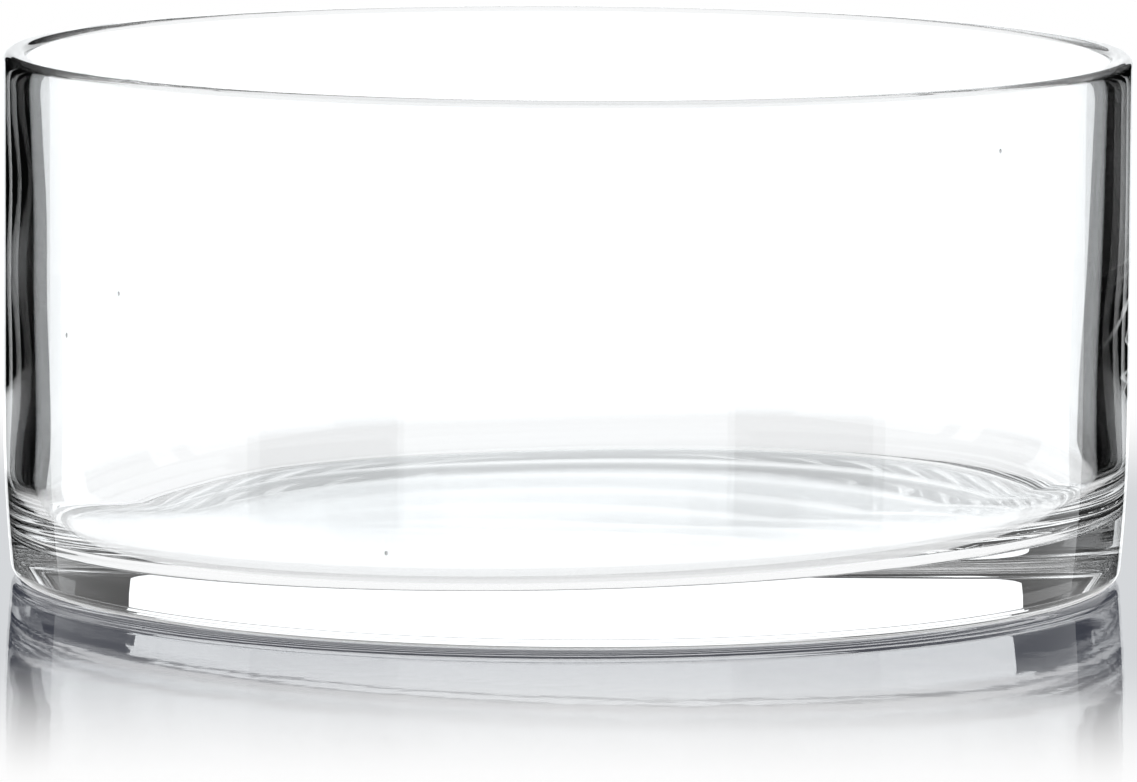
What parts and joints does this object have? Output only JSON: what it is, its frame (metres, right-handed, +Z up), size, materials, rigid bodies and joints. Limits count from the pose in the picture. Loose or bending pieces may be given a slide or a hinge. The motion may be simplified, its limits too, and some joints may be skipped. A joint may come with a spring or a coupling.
{
  "type": "crystallizing dish",
  "caption": "Low straight-sided cylindrical glass dish with a thick flat base, a plain flat-topped rim and no pouring lip, for crystallizing and evaporating liquids.",
  "frame": {"origin": "centre of the flat underside, where the dish rests", "axes": "+Z up along the axis of the outer wall, from the underside to the open rim; +X towards the side on which the slightly leaning floor inside stands highest; +Y square to both"},
  "size_m": [0.19, 0.19, 0.0885],
  "materials": {
    "clear_glass": "clear colourless glass, fire-polished all over"
  },
  "bodies": {
    "root": {"glass_dish": "clear_glass"}
  },
  "joints": []
}
